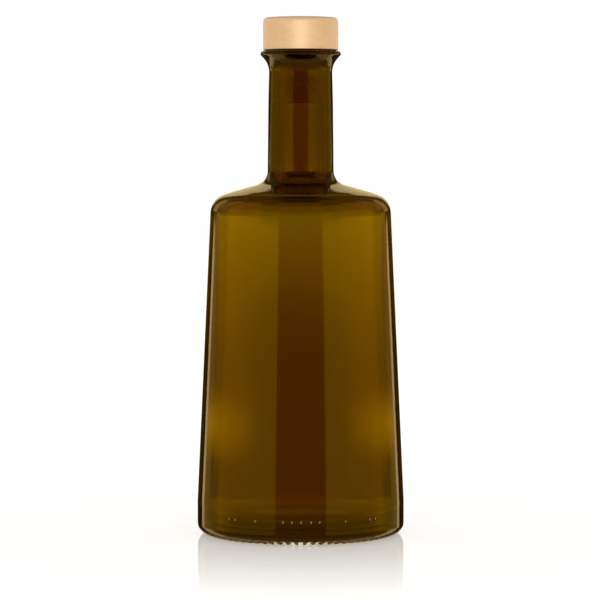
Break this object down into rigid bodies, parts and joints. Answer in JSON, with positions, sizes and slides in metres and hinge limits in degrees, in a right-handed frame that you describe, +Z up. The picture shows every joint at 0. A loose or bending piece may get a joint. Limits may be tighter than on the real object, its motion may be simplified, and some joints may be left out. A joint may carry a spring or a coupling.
{
  "type": "glass oil bottle with a wooden stopper",
  "caption": "Round brown glass bottle for oil or vinegar with a sloping shoulder, a long neck and a flared lip, empty and closed by a wooden stopper on a cork shank.",
  "frame": {"origin": "centre of the ring the bottle stands on", "axes": "+Z up, along the bottle's axis towards the stopper"},
  "size_m": [0.0828, 0.0828, 0.2064],
  "materials": {
    "brown_glass": "clear, glossy",
    "pale_wood": "satin, turned",
    "cork": "matt"
  },
  "bodies": {
    "root": {"bottle": "brown_glass", "stopper_head": "pale_wood", "stopper_shank": "cork"}
  },
  "joints": []
}
